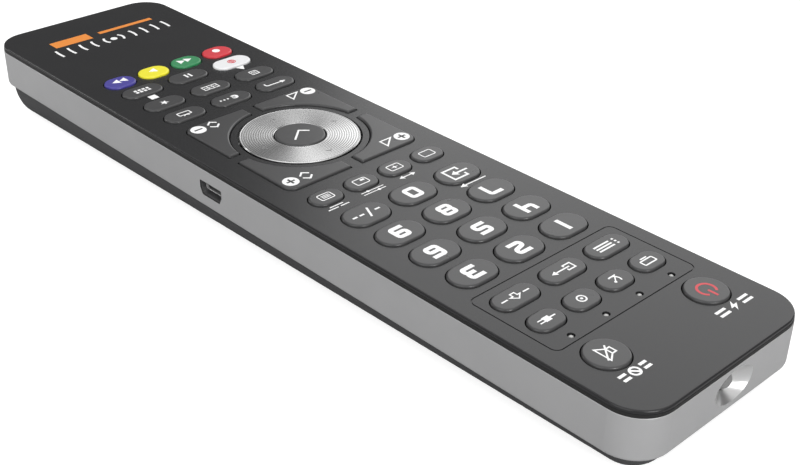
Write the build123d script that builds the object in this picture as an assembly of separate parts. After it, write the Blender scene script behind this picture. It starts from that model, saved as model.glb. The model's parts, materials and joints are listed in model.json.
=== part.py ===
from build123d import *
import math
import os

# A television remote control as its separate pieces, in millimetres.
# Most pieces are drawn in the deck's frame: X runs across the handset, Y towards the infrared end, and Z
# stands square to the keys, with zero where the dark deck meets the silver band.
# The underside slopes against the deck, so that the cells fit at the far end. The finished pieces are
# turned to stand flat on that underside, and this standing frame has its origin at the middle of the base.

# Key field: every row of keys fills the same width
key_field_width = 36.2
side_margin = 5.9
near_margin = 11.4
far_margin = 41.45
body_width = key_field_width + 2 * side_margin

# Outline and edges
body_corner_radius = 7.5
smallest_corner = 0.5
deck_edge_height = 1.4
deck_step = 0.15
deck_thickness = 1.8
deck_edge_rounding = 0.35
band_height = 8.95
band_wall = 2.4
band_edge_rounding = 0.7
band_top_rounding = 0.12

# Bottom shell
shell_step = 1.25
shell_wall = 1.6
shell_floor = 1.5
shell_rounding = 5.5
shell_rise = 5.04
shell_lip_height = 1.5
shell_lip_depth = 1.5
shell_lip_thickness = 0.9
rounding_steps = 7

# Fits
slip = 0.1
slide_fit = 0.2
cut_overrun = 1.0

# Keys
key_proud = 0.45
key_clearance = 0.25
key_edge_rounding = 0.4
key_travel = 0.6
travel_margin = 0.05
flange_lip = 0.3
flange_thickness = 0.6
flange_gap = 0.2
plunger_radius = 1.5
plunger_clearance = 0.3

power_key_diameter = 8.5
device_key_height = 5.4
device_key_gap = 1.8
mode_key_height = 5.4
mode_key_gap = 2.35
pad_key_height = 7.3
pad_key_gap = 2.2
pad_row_count = 4
small_key_height = 5.5
small_key_gap = 1.8
function_key_height = 5.5
function_key_gap = 2.8
colour_key_height = 5.9
colour_key_gap = 1.65

# Gaps between the rows, from key edge to key edge
power_to_indicators = 3.35
indicators_to_devices = 2.9
devices_to_modes = 3.05
modes_to_pad = 4.25
pad_row_gap = 2.34
pad_to_small = 4.13
small_to_cluster = 3.8
cluster_to_functions = 3.7
function_row_gap = 2.6
pause_row_gap = 3.6
functions_to_colours = 2.0

# Indicators and the engraved panel round them
indicator_diameter = 1.2
indicator_hole_diameter = 1.5
indicator_recess = 0.1
panel_side_margin = 1.9
panel_top_margin = 1.8
panel_bottom_margin = 2.35
panel_corner_radius = 1.7
panel_groove_width = 0.25
panel_groove_depth = 0.15

# Rocking ring, with the select key in its middle and four keys round it
cluster_height = 37.7
cluster_gap = 3.2
cluster_corner_radius = 2.5
cluster_tip_radius = 0.4
cluster_plunger_inset = 3.7
ring_to_corner_keys = 2.15
ring_margin = 5.45
ring_clearance = 0.45
ring_proud = 0.25
ring_rock_gap = 0.5
ring_flange_thickness = 0.5
ring_edge_chamfer = 0.3
select_key_radius = 5.6
select_flange_reach = 0.65
select_flange_thickness = 0.5
select_flange_gap = 0.3
ring_recess_clearance = 0.75
ring_recess_depth = 1.1
collar_bore_clearance = 0.95
collar_width = 3.6
collar_thickness = 0.5
collar_gap = 0.3

# Rubber mat and circuit board
mat_thickness = 0.7
mat_margin = 0.9
mat_side_gap = 1.4
mat_ring_clearance = 0.3
board_thickness = 1.2
board_side_gap = 0.8
board_near_margin = 1.3
board_far_margin = 7.1
board_corner_radius = 1.0

# Controller under the board
chip_size = 9.0
chip_thickness = 1.2
chip_leg_length = 1.0
chip_leg_width = 0.35
chip_leg_pitch = 1.0
chip_leg_count = 8

# Infrared emitter and its dish in the near end
emitter_from_middle = 1.05
emitter_radius = 1.8
emitter_length = 5.6
emitter_recess = 0.75
emitter_fit = 0.25
emitter_flange_radius = 2.25
emitter_flange_thickness = 0.9
emitter_lead_radius = 0.25
emitter_lead_spacing = 1.27
emitter_lead_reach = 2.2
dish_width = 10.9
dish_top_margin = 0.5
dish_bottom_margin = 1.6
dish_depth = 2.0

# Charging and update socket in the side band
socket_place_from_ring = 0.9
socket_lift = 0.05
socket_top_width = 7.6
socket_bottom_width = 6.0
socket_height = 3.4
socket_shoulder = 1.9
socket_corner_radius = 0.35
socket_fit = 0.1
socket_setback = 0.3
socket_length = 8.4
socket_wall = 0.3
socket_block_depth = 2.0
socket_tongue_width = 4.6
socket_tongue_thickness = 0.9
socket_tongue_setback = 1.0

# Two AAA cells, their contacts and springs
cell_diameter = 10.5
cell_length = 44.5
cell_nub_diameter = 3.8
cell_nub_length = 0.8
cell_edge_rounding = 0.5
cell_gap = 0.7
cell_fit = 0.2
cell_side_fit = 0.55
cell_end_fit = 0.05
contact_size = 8.0
contact_thickness = 0.4
spring_length = 5.2
spring_radius = 3.0
spring_wire_radius = 0.3
spring_turns = 4
bay_wall = 1.2
bay_wall_height = 11.5
bay_far_inset = 6.45
bay_end_wall_lift = 3.0
board_headroom = 0.85

# Cover over the cells
cover_tongue_reach = 0.8
cover_tongue_thickness = 0.4
cover_tongue_lift = 0.65
cover_tongue_far_inset = 6.0
cover_groove_clearance = 0.12
cover_grip_count = 5
cover_grip_pitch = 1.8
cover_grip_width = 0.8
cover_grip_depth = 0.4
cover_grip_length = 12.0
cover_grip_from_near = 9.0

# Screws, and the posts that they go into
screw_shank_radius = 0.95
screw_length = 4.2
screw_head_radius = 1.8
screw_head_height = 1.3
screw_slot_length = 2.2
screw_slot_width = 0.5
screw_slot_depth = 0.7
screw_fit = 0.08
screw_tip_room = 0.1
board_post_radius = 1.9
board_post_fit = 0.3
board_post_far_inset = 3.5
board_post_far_place = 16.0
shell_post_radius = 2.6
shell_post_height = 0.5
shell_boss_radius = 3.2
shell_boss_floor = 1.4
shell_boss_fit = 0.3
shell_post_near_inset = 6.15
shell_post_near_place = 16.0
shell_post_far_inset = 5.0
shell_post_far_place = 17.4


def fitted_width(count, gap):
    """The width of one key when this many fill the key field."""
    return (key_field_width - (count - 1) * gap) / count


def columns(count, gap):
    """The places of the keys' centres across the field."""
    pitch = fitted_width(count, gap) + gap
    return [(i - (count - 1) / 2) * pitch for i in range(count)]


# Rows, worked out from the near end downwards
power_radius = power_key_diameter / 2
indicators_below_power = power_radius + power_to_indicators
devices_below = indicators_below_power + indicators_to_devices + device_key_height / 2
modes_below = devices_below + (device_key_height + mode_key_height) / 2 + devices_to_modes
pad_below = modes_below + (mode_key_height + pad_key_height) / 2 + modes_to_pad
pad_row_pitch = pad_key_height + pad_row_gap
last_pad_below = pad_below + (pad_row_count - 1) * pad_row_pitch
small_below = last_pad_below + (pad_key_height + small_key_height) / 2 + pad_to_small
ring_below = small_below + (small_key_height + cluster_height) / 2 + small_to_cluster
functions_below = ring_below + (cluster_height + function_key_height) / 2 + cluster_to_functions
function_row_pitch = function_key_height + function_row_gap
pause_below = functions_below + function_row_pitch + function_key_height + pause_row_gap
colours_below = pause_below + (function_key_height + colour_key_height) / 2 + functions_to_colours
body_length = near_margin + power_radius + colours_below + colour_key_height / 2 + far_margin

near_end = body_length / 2
far_end = -body_length / 2
power_y = near_end - near_margin - power_radius
indicator_y = power_y - indicators_below_power
device_y = power_y - devices_below
mode_y = power_y - modes_below
pad_rows = [power_y - pad_below - i * pad_row_pitch for i in range(pad_row_count)]
small_y = power_y - small_below
ring_y = power_y - ring_below
function_rows = [power_y - below for below in
                 (functions_below, functions_below + function_row_pitch, pause_below)]
colour_y = power_y - colours_below
power_x = columns(4, device_key_gap)[-1]

# Heights
deck_top = deck_edge_height
deck_under = deck_top - deck_thickness
key_top = deck_top + key_proud
flange_top = deck_under - flange_gap
flange_bottom = flange_top - flange_thickness
mat_top = flange_bottom - key_travel - travel_margin
board_top = mat_top - mat_thickness
board_bottom = board_top - board_thickness
plunger_bottom = board_top + key_travel + travel_margin
flange_reach = key_clearance + flange_lip
band_inner_half = body_width / 2 - band_wall

# Underside: the floor slopes so that a cell just fits under the board where the bay begins
slope = shell_rise / body_length
tilt = math.degrees(math.atan(slope))
bay_half_width = cell_diameter + cell_gap / 2 + cell_side_fit
bay_length = cell_length + spring_length + 2 * contact_thickness + 2 * cell_end_fit
bay_far_y = far_end + bay_far_inset
bay_near_y = bay_far_y + bay_length
cell_axis_height = shell_floor + cell_fit + cell_diameter / 2
cell_top_height = cell_axis_height + cell_diameter / 2
shell_depth = cell_top_height + board_headroom - board_bottom - band_height + slope * bay_near_y
stand = (Pos(0, 0, (band_height + shell_depth) * math.cos(math.radians(tilt)))
         * Rot(-tilt, 0, 0))


def outline(inset):
    """The handset's rounded outline, drawn in by an inset on every side."""
    corner = max(body_corner_radius - inset, smallest_corner)
    return RectangleRounded(body_width - 2 * inset, body_length - 2 * inset, corner)


def prism(shape, low, high):
    """A flat shape drawn up from one height to another."""
    return extrude(Pos(0, 0, low) * shape, amount=high - low, dir=(0, 0, 1))


def block(x_limits, y_limits, z_limits):
    """A box between pairs of limits."""
    sizes = [high - low for low, high in (x_limits, y_limits, z_limits)]
    middles = [(high + low) / 2 for low, high in (x_limits, y_limits, z_limits)]
    return Pos(*middles) * Box(*sizes)


def post(x, y, radius, low, high):
    """An upright round post between two heights."""
    return Pos(x, y, (low + high) / 2) * Cylinder(radius, high - low)


def bowl(step, floor, rounding):
    """A tub that hangs below the band: its outline draws in along a quarter ellipse to the sloping floor."""
    sections = []
    for i in range(rounding_steps):
        turn = math.pi / 2 * i / (rounding_steps - 1)
        drop = math.sin(turn)
        lean = math.degrees(math.atan(slope * drop))
        place = Pos(0, 0, -band_height - drop * (shell_depth - floor)) * Rot(lean, 0, 0)
        sections.append(place * outline(step + rounding * (1 - math.cos(turn))))
    return loft(sections)


def top_edges(shape):
    """The edges of a shape's highest face."""
    return shape.faces().sort_by(Axis.Z)[-1].edges()


def key(cap, flange, plungers):
    """A key: its cap stands through the deck, and its flange is caught under the deck."""
    shape = fillet(top_edges(prism(cap, flange_bottom, key_top)), key_edge_rounding)
    shape += prism(flange, flange_bottom, flange_top)
    for x, y in plungers:
        shape += post(x, y, plunger_radius, plunger_bottom, flange_bottom)
    return shape


# Each key's place, width and height, from which the deck, the mat and the key itself are all made
slots = {}


def add_row(names, y, width, height, places):
    """Note a row of slot-shaped keys."""
    for name, x in zip(names, places):
        slots[name] = (x, y, width, height)


def slot_outline(name, grow):
    """A key's outline, grown by a clearance all round."""
    x, y, width, height = slots[name]
    if width > height:
        return Pos(x, y) * SlotOverall(width + 2 * grow, height + 2 * grow)
    return Pos(x, y) * Circle(width / 2 + grow)


add_row(["power_key", "mute_key"], power_y, power_key_diameter, power_key_diameter, (-power_x, power_x))
add_row([f"device_key_{i + 1}" for i in range(4)], device_y,
        fitted_width(4, device_key_gap), device_key_height, columns(4, device_key_gap))
add_row([f"mode_key_{i + 1}" for i in range(3)], mode_y,
        fitted_width(3, mode_key_gap), mode_key_height, columns(3, mode_key_gap))
pad_names = [["digit_key_1", "digit_key_2", "digit_key_3"],
             ["digit_key_4", "digit_key_5", "digit_key_6"],
             ["digit_key_7", "digit_key_8", "digit_key_9"],
             ["source_key", "digit_key_0", "long_number_key"]]
for names, y in zip(pad_names, pad_rows):
    add_row(names, y, fitted_width(3, pad_key_gap), pad_key_height, columns(3, pad_key_gap))
add_row([f"small_key_{i + 1}" for i in range(4)], small_y,
        fitted_width(4, small_key_gap), small_key_height, columns(4, small_key_gap))
for row, y in enumerate(function_rows):
    add_row([f"function_key_{3 * row + i + 1}" for i in range(3)], y,
            fitted_width(3, function_key_gap), function_key_height, columns(3, function_key_gap))
add_row(["red_key", "green_key", "yellow_key", "blue_key"], colour_y,
        fitted_width(4, colour_key_gap), colour_key_height, columns(4, colour_key_gap))


# Four corner keys, drawn once for the quarter at +X +Y and mirrored
ring_radius = cluster_height / 2 - ring_margin
corner_arc_radius = ring_radius + ring_to_corner_keys


def corner_outline(grow):
    """A corner key's outline about the ring's centre: a rounded square cut by an arc round the ring."""
    inner = cluster_gap / 2 - grow
    outer_x = key_field_width / 2 + grow
    outer_y = cluster_height / 2 + grow
    square = Pos((inner + outer_x) / 2, (inner + outer_y) / 2) * Rectangle(outer_x - inner, outer_y - inner)
    corner = square.vertices().sort_by(lambda v: v.X + v.Y)[-1]
    square = fillet(corner, cluster_corner_radius + grow)
    return square - Circle(corner_arc_radius - grow)


def corner_copies(shape):
    """The shape at the four corners, in the order +X+Y, -X+Y, -X-Y, +X-Y, moved to the ring's place."""
    left = mirror(shape, about=Plane.YZ)
    return [Pos(0, ring_y, 0) * piece for piece in
            (shape, left, mirror(left, about=Plane.XZ), mirror(shape, about=Plane.XZ))]


corner_names = ["channel_up_key", "volume_up_key", "volume_down_key", "channel_down_key"]
corner_plunger = (key_field_width / 2 - cluster_plunger_inset, cluster_height / 2 - cluster_plunger_inset)
corner_cap = corner_outline(0)
tips = [v for v in corner_cap.vertices() if min(v.X, v.Y) < cluster_gap / 2 + smallest_corner]
corner_cap = fillet(tips, cluster_tip_radius)
corner_keys = corner_copies(key(corner_cap, corner_outline(flange_reach), [corner_plunger]))

deck_pieces = {}
for name, (x, y, _, _) in slots.items():
    deck_pieces[name] = key(slot_outline(name, 0), slot_outline(name, flange_reach), [(x, y)])
deck_pieces.update(zip(corner_names, corner_keys))

# Rocking ring: it turns a little about X on the collar, and the collar turns a little about Y
ring_hole_radius = ring_radius + ring_clearance
ring_flange_radius = ring_hole_radius + flange_lip
ring_top = deck_top + ring_proud
ring_flange_top = deck_under - ring_rock_gap
ring_bottom = ring_flange_top - ring_flange_thickness
ring_bore = select_key_radius + key_clearance
select_flange_radius = select_key_radius + select_flange_reach
ring_recess_radius = select_flange_radius + ring_recess_clearance
collar_inner_radius = select_flange_radius + collar_bore_clearance
collar_outer_radius = collar_inner_radius + collar_width
collar_top = ring_bottom - collar_gap
collar_bottom = collar_top - collar_thickness
ring = post(0, ring_y, ring_radius, ring_bottom, ring_top)
ring = chamfer(top_edges(ring), ring_edge_chamfer)
ring += post(0, ring_y, ring_flange_radius, ring_bottom, ring_flange_top)
ring -= post(0, ring_y, ring_bore, ring_bottom - cut_overrun, ring_top + cut_overrun)
ring -= post(0, ring_y, ring_recess_radius, ring_bottom - cut_overrun, ring_bottom + ring_recess_depth)
deck_pieces["select_ring"] = ring
collar = post(0, ring_y, collar_outer_radius, collar_bottom, collar_top)
collar -= post(0, ring_y, collar_inner_radius, collar_bottom - cut_overrun, collar_top + cut_overrun)
deck_pieces["ring_collar"] = collar

# Select key in the ring's bore, with its flange in the ring's recess
select_flange_top = ring_bottom + ring_recess_depth - select_flange_gap
select_flange_bottom = select_flange_top - select_flange_thickness
select = post(0, ring_y, select_key_radius, select_flange_bottom, key_top)
select = fillet(top_edges(select), key_edge_rounding)
select += post(0, ring_y, select_flange_radius, select_flange_bottom, select_flange_top)
select += post(0, ring_y, plunger_radius, plunger_bottom, select_flange_bottom)
deck_pieces["select_key"] = select

# Places of the posts and screws
indicator_columns = columns(4, device_key_gap)
between_columns = (indicator_columns[2] + indicator_columns[3]) / 2
board_posts = [(x, indicator_y) for x in (-between_columns, between_columns)]
colour_flange_y = colour_y - colour_key_height / 2 - flange_reach
board_posts += [(x, colour_flange_y - board_post_far_inset)
                for x in (-board_post_far_place, board_post_far_place)]
board_near_y = power_y + power_radius + flange_reach + board_near_margin
board_far_y = colour_flange_y - board_far_margin
shell_posts = [(x, near_end - shell_post_near_inset)
               for x in (-shell_post_near_place, shell_post_near_place)]
shell_posts += [(x, board_far_y - shell_post_far_inset)
                for x in (-shell_post_far_place, shell_post_far_place)]
boss_top = -band_height - shell_post_height
boss_seat = boss_top - shell_boss_floor
board_screw_tip = board_bottom + screw_length
shell_screw_tip = boss_seat + screw_length
pilot_radius = screw_shank_radius + screw_fit

# Dark top deck
through_deck = (deck_under - cut_overrun, deck_top + cut_overrun)
deck = fillet(top_edges(prism(outline(deck_step), 0, deck_top)), deck_edge_rounding)
deck += prism(outline(band_wall + slip), deck_under, 0)
for name in slots:
    deck -= prism(slot_outline(name, key_clearance), *through_deck)
corner_hole = prism(corner_outline(key_clearance), *through_deck)
for hole in corner_copies(corner_hole):
    deck -= hole
deck -= post(0, ring_y, ring_hole_radius, *through_deck)
for x in indicator_columns:
    deck -= post(x, indicator_y, indicator_hole_diameter / 2, *through_deck)
panel_top_y = indicator_y + panel_top_margin
panel_bottom_y = mode_y - mode_key_height / 2 - panel_bottom_margin
panel_width = key_field_width + 2 * panel_side_margin
panel_middle = Pos(0, (panel_top_y + panel_bottom_y) / 2)
panel_height = panel_top_y - panel_bottom_y
groove = panel_middle * RectangleRounded(panel_width, panel_height, panel_corner_radius)
groove -= panel_middle * RectangleRounded(panel_width - 2 * panel_groove_width,
                                          panel_height - 2 * panel_groove_width,
                                          panel_corner_radius - panel_groove_width)
deck -= prism(groove, deck_top - panel_groove_depth, deck_top + cut_overrun)
for x, y in board_posts:
    deck += post(x, y, board_post_radius, board_top, deck_under)
    deck -= post(x, y, pilot_radius, board_top - cut_overrun, board_screw_tip + screw_tip_room)
for x, y in shell_posts:
    deck += post(x, y, shell_post_radius, boss_top, deck_under)
    deck -= post(x, y, pilot_radius, boss_top - cut_overrun, shell_screw_tip + screw_tip_room)
deck_pieces["top_deck"] = deck

# Silver side band, with the emitter's dish in its near end and the socket's cut in its side
dish_height = band_height - dish_top_margin - dish_bottom_margin
emitter_x = -emitter_from_middle
emitter_z = -dish_top_margin - dish_height / 2
band = prism(outline(0), -band_height, 0)
band = fillet(band.faces().sort_by(Axis.Z)[0].edges(), band_edge_rounding)
band = fillet(top_edges(band), band_top_rounding)
band -= prism(outline(band_wall), -band_height - cut_overrun, cut_overrun)
near_face = Plane(origin=(emitter_x, near_end, emitter_z), x_dir=(1, 0, 0), z_dir=(0, 1, 0))
mouth = near_face * Ellipse(dish_width / 2, dish_height / 2)
throat = near_face.offset(-dish_depth) * Circle(emitter_radius + emitter_fit)
band -= loft([mouth, throat])
band -= extrude(mouth, amount=cut_overrun, dir=(0, 1, 0))
band -= extrude(throat, amount=band_wall, dir=(0, -1, 0))

socket_y = ring_y - socket_place_from_ring
socket_z = socket_lift - band_height / 2
socket_face = Plane(origin=(body_width / 2, socket_y, socket_z), x_dir=(0, 1, 0), z_dir=(1, 0, 0))


def socket_outline(inset):
    """The socket's mouth: straight sides above, and sides that draw in towards its narrower floor."""
    top = socket_height / 2 - inset
    shoulder = socket_height / 2 - socket_shoulder
    half_top = socket_top_width / 2 - inset
    half_bottom = socket_bottom_width / 2 - inset
    mouth_shape = Polygon((half_top, top), (-half_top, top), (-half_top, shoulder),
                          (-half_bottom, -top), (half_bottom, -top), (half_top, shoulder), align=None)
    return fillet(mouth_shape.vertices(), socket_corner_radius)


band -= extrude(socket_face.offset(cut_overrun) * socket_outline(0),
                amount=band_wall + 2 * cut_overrun, dir=(-1, 0, 0))
deck_pieces["side_band"] = band

# Charging socket: a folded metal shell, closed by a plastic block that carries the tongue
shell_front = socket_face.offset(-socket_setback)
socket_shell = extrude(shell_front * socket_outline(socket_fit), amount=socket_length, dir=(-1, 0, 0))
socket_shell -= extrude(shell_front.offset(cut_overrun) * socket_outline(socket_fit + socket_wall),
                        amount=socket_length + 2 * cut_overrun, dir=(-1, 0, 0))
block_front = body_width / 2 - socket_setback - socket_length + socket_block_depth
tongue_front = body_width / 2 - socket_setback - socket_tongue_setback
tongue_back = block_front - socket_block_depth
tongue_half_width = socket_tongue_width / 2
tongue_half_height = socket_tongue_thickness / 2
block_face = socket_face.offset(block_front - body_width / 2) * socket_outline(socket_fit + socket_wall)
socket_block = extrude(block_face, amount=socket_block_depth, dir=(-1, 0, 0))
socket_block += block((tongue_back, tongue_front),
                      (socket_y - tongue_half_width, socket_y + tongue_half_width),
                      (socket_z - tongue_half_height, socket_z + tongue_half_height))
deck_pieces["charging_socket"] = Compound(children=[socket_shell, socket_block])
socket_notch_half = socket_top_width / 2 + board_side_gap
socket_notch_y = (socket_y - socket_notch_half, socket_y + socket_notch_half)
socket_notch_x = (tongue_back - slide_fit, body_width / 2)

# Indicator lights stand on the board under the deck's small holes
indicator_radius = indicator_diameter / 2
dome_height = deck_top - indicator_recess - indicator_radius
indicators = [post(x, indicator_y, indicator_radius, board_top, dome_height)
              + Pos(x, indicator_y, dome_height) * Sphere(indicator_radius) for x in indicator_columns]
deck_pieces["indicator_lights"] = Compound(children=indicators)

# Infrared emitter: a domed body, a rim and two leads soldered under the board
emitter_tip = near_end - emitter_recess
emitter_back = emitter_tip - emitter_length
lead_height = board_bottom - emitter_lead_radius
along_y = Plane(origin=(emitter_x, emitter_back, emitter_z), x_dir=(1, 0, 0), z_dir=(0, 1, 0))
emitter = extrude(along_y * Circle(emitter_radius), amount=emitter_length - emitter_radius, dir=(0, 1, 0))
emitter += Pos(emitter_x, emitter_tip - emitter_radius, emitter_z) * Sphere(emitter_radius)
emitter += extrude(along_y * Circle(emitter_flange_radius), amount=emitter_flange_thickness, dir=(0, 1, 0))
for side in (-1, 1):
    lead_x = emitter_x + side * emitter_lead_spacing / 2
    lead_start = Plane(origin=(lead_x, emitter_back, lead_height), x_dir=(1, 0, 0), z_dir=(0, -1, 0))
    lead = lead_start * Circle(emitter_lead_radius)
    emitter += extrude(lead, amount=emitter_back - board_near_y + emitter_lead_reach, dir=(0, -1, 0))
deck_pieces["infrared_emitter"] = emitter

# Rubber mat between the keys and the board
mat_half = body_width / 2 - band_wall - mat_side_gap
mat_near_y = power_y + power_radius + flange_reach + mat_margin
mat_far_y = colour_flange_y - mat_margin
mat = block((-mat_half, mat_half), (mat_far_y, mat_near_y), (board_top, mat_top))
mat_hole_radius = plunger_radius + plunger_clearance
plungers = [(x, y) for x, y, _, _ in slots.values()]
plungers += [(sx * corner_plunger[0], ring_y + sy * corner_plunger[1]) for sx in (-1, 1) for sy in (-1, 1)]
through_mat = (board_top - cut_overrun, mat_top + cut_overrun)
for x, y in plungers:
    mat -= post(x, y, mat_hole_radius, *through_mat)
mat -= post(0, ring_y, ring_flange_radius + mat_ring_clearance, *through_mat)
for x in indicator_columns:
    mat -= post(x, indicator_y, indicator_hole_diameter / 2, *through_mat)
for x, y in board_posts:
    mat -= post(x, y, board_post_radius + board_post_fit, *through_mat)
mat -= block(socket_notch_x, socket_notch_y, through_mat)
deck_pieces["key_mat"] = mat

# Circuit board, screwed to the deck's posts
board_half = band_inner_half - board_side_gap
board_shape = Pos(0, (board_near_y + board_far_y) / 2) * RectangleRounded(
    2 * board_half, board_near_y - board_far_y, board_corner_radius)
board = prism(board_shape, board_bottom, board_top)
through_board = (board_bottom - cut_overrun, board_top + cut_overrun)
board -= block(socket_notch_x, socket_notch_y, through_board)
for x, y in board_posts:
    board -= post(x, y, pilot_radius, *through_board)
deck_pieces["circuit_board"] = board

# Controller chip, soldered under the board
chip_y = pad_rows[-1] + pad_row_pitch / 2
chip = Pos(0, chip_y, board_bottom - chip_thickness / 2) * Box(chip_size, chip_size, chip_thickness)
leg_places = [(i - (chip_leg_count - 1) / 2) * chip_leg_pitch for i in range(chip_leg_count)]
leg_span = chip_size + 2 * chip_leg_length
for place in leg_places:
    leg_height = board_bottom - chip_leg_width / 2
    chip += Pos(place, chip_y, leg_height) * Box(chip_leg_width, leg_span, chip_leg_width)
    chip += Pos(0, chip_y + place, leg_height) * Box(leg_span, chip_leg_width, chip_leg_width)
deck_pieces["controller_chip"] = chip


def screw(x, y, seat):
    """A pan-head screw that points up from its seat, with a cross in its head."""
    shape = post(x, y, screw_shank_radius, seat, seat + screw_length)
    shape += post(x, y, screw_head_radius, seat - screw_head_height, seat)
    low = seat - screw_head_height
    cross_height = (low - cut_overrun, low + screw_slot_depth)
    long_half = screw_slot_length / 2
    thin_half = screw_slot_width / 2
    shape -= block((x - long_half, x + long_half), (y - thin_half, y + thin_half), cross_height)
    return shape - block((x - thin_half, x + thin_half), (y - long_half, y + long_half), cross_height)


screws = [screw(x, y, board_bottom) for x, y in board_posts]
screws += [screw(x, y, boss_seat) for x, y in shell_posts]
deck_pieces["screws"] = Compound(children=screws)

# Bottom shell
tub = bowl(shell_step, 0, shell_rounding)
hollow = bowl(shell_step + shell_wall, shell_floor, shell_rounding - shell_floor)
skin = tub - hollow
lip = outline(band_wall + slip) - outline(band_wall + slip + shell_lip_thickness)
skin += prism(lip, -band_height - shell_lip_depth, shell_lip_height - band_height)
deep = -band_height - 2 * shell_depth
opening = block((-bay_half_width, bay_half_width), (far_end - cut_overrun, bay_near_y),
                (deep, -band_height))
cover_limits = block((-bay_half_width + slide_fit, bay_half_width - slide_fit),
                     (far_end - cut_overrun, bay_near_y - slide_fit), (deep, -band_height - slide_fit))
cover = (tub - hollow) & cover_limits
skin -= opening
for x, y in shell_posts:
    skin += post(x, y, shell_boss_radius, deep, boss_top) & tub
    skin -= post(x, y, screw_head_radius + shell_boss_fit, deep, boss_seat)
    skin -= post(x, y, pilot_radius, boss_seat - cut_overrun, boss_top + cut_overrun)

# Battery bay: from here the pieces are drawn in the standing frame, where the underside is at zero
shell = stand * skin
wall_foot = shell_floor / 2
bay_x = (bay_half_width, bay_half_width + bay_wall)
for side in (-1, 1):
    shell += block(sorted((side * bay_x[0], side * bay_x[1])),
                   (bay_far_y - bay_wall, bay_near_y + bay_wall), (wall_foot, bay_wall_height))
shell += block((-bay_x[1], bay_x[1]), (bay_near_y, bay_near_y + bay_wall),
               (wall_foot, bay_wall_height))
shell += block((-bay_x[1], bay_x[1]), (bay_far_y - bay_wall, bay_far_y),
               (bay_end_wall_lift, bay_wall_height))
groove_z = (cover_tongue_lift - cover_groove_clearance,
            cover_tongue_lift + cover_tongue_thickness + cover_groove_clearance)
groove_half = bay_half_width - slide_fit + cover_tongue_reach + cover_groove_clearance
shell -= block((-groove_half, groove_half), (far_end - cut_overrun, bay_near_y), groove_z)
standing_pieces = {"bottom_shell": shell}

# Battery cover: it slides off past the far end, with a tongue along each side
cover = stand * cover
tongue_half = bay_half_width - slide_fit + cover_tongue_reach
tongue = block((-tongue_half, tongue_half), (far_end + cover_tongue_far_inset, bay_near_y - slide_fit),
               (cover_tongue_lift, cover_tongue_lift + cover_tongue_thickness))
cover += tongue
for i in range(cover_grip_count):
    y = bay_near_y - cover_grip_from_near - i * cover_grip_pitch
    cover -= block((-cover_grip_length / 2, cover_grip_length / 2),
                   (y - cover_grip_width / 2, y + cover_grip_width / 2),
                   (-cut_overrun, cover_grip_depth))
standing_pieces["battery_cover"] = cover


def cell(side):
    """One cell along Y. The cell at +X has its nub at the far end, and the other at the near end."""
    can = Cylinder(cell_diameter / 2, cell_length - cell_nub_length)
    can = fillet(can.edges().filter_by(GeomType.CIRCLE), cell_edge_rounding)
    can = Pos(0, 0, -cell_nub_length / 2) * can
    nub_place = (cell_length - cell_nub_length) / 2
    can += Pos(0, 0, nub_place) * Cylinder(cell_nub_diameter / 2, cell_nub_length)
    turned = Rot(90 * side, 0, 0) * can
    middle = (bay_near_y + bay_far_y) / 2 - side * (spring_length / 2)
    return Pos(side * (cell_diameter + cell_gap) / 2, middle, cell_axis_height) * turned


def coil(side):
    """The spring behind a cell's flat end: one wire, wound with open turns."""
    height = spring_length - 2 * spring_wire_radius - cell_end_fit
    line = Helix(height / spring_turns, height, spring_radius)
    wire = sweep(Plane(origin=line @ 0, z_dir=line % 0) * Circle(spring_wire_radius), path=line)
    turned = Rot(90 * side, 0, 0) * Pos(0, 0, -height / 2) * wire
    wall_y = bay_near_y if side > 0 else bay_far_y
    middle = wall_y - side * (contact_thickness + cell_end_fit + spring_length / 2)
    return Pos(side * (cell_diameter + cell_gap) / 2, middle, cell_axis_height) * turned


standing_pieces["cells"] = Compound(children=[cell(-1), cell(1)])
standing_pieces["cell_springs"] = Compound(children=[coil(-1), coil(1)])
contact_half = contact_size / 2
contacts = []
for side in (-1, 1):
    x = side * (cell_diameter + cell_gap) / 2
    for low_y in (bay_far_y, bay_near_y - contact_thickness):
        contacts.append(block((x - contact_half, x + contact_half),
                              (low_y, low_y + contact_thickness),
                              (cell_axis_height - contact_half, cell_axis_height + contact_half)))
standing_pieces["cell_contacts"] = Compound(children=contacts)

# Stand the pieces on the underside, with the origin at the middle of the base
span = (stand * band).bounding_box()
centre = Pos(0, -span.center().Y, 0)
to_standing = centre * stand
os.makedirs("parts", exist_ok=True)
for name, piece in deck_pieces.items():
    export_step(to_standing * piece, f"parts/{name}.step")
for name, piece in standing_pieces.items():
    export_step(centre * piece, f"parts/{name}.step")
print(f"{len(deck_pieces) + len(standing_pieces)} pieces, {body_width:.2f} by {body_length:.2f} mm,"
      f" slope {tilt:.3f} degrees, depth {shell_depth:.2f} mm")
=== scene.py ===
# %% [markdown]
# A slim universal remote control lies on a pale table, seen from its infrared end.
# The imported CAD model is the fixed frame, in metres: its shells, keys and inner pieces stay where they are.
# This script adds what the eye meets on the real thing: moulded and painted finishes, a turned ring,
# the marks printed on the keys, and soft studio light.

# %% Load the frame
import json
import math

import bmesh
import bpy
from mathutils import Matrix, Vector


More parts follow.
